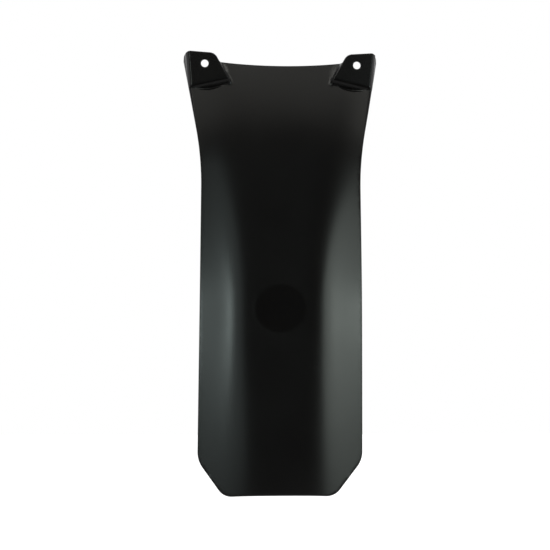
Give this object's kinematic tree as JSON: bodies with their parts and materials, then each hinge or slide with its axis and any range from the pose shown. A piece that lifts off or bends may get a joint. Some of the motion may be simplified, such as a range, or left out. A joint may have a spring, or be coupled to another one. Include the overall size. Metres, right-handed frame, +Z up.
{
  "type": "shock absorber guard",
  "caption": "Black moulded plastic flap that bolts by its top ears behind a motorbike's rear shock absorber and keeps mud off it; waisted outline and a shallow trough.",
  "frame": {"origin": "midway between the two bolt holes, on the plane on which the backs of the ears seat", "axes": "+X across the guard, +Z up along it to the ears, +Y from the tyre side (the pictured face) towards the shock absorber, along the bolts"},
  "size_m": [0.1688, 0.0282, 0.3906],
  "materials": {
    "black_plastic": "satin"
  },
  "bodies": {
    "root": {"shock_guard": "black_plastic"}
  },
  "joints": []
}
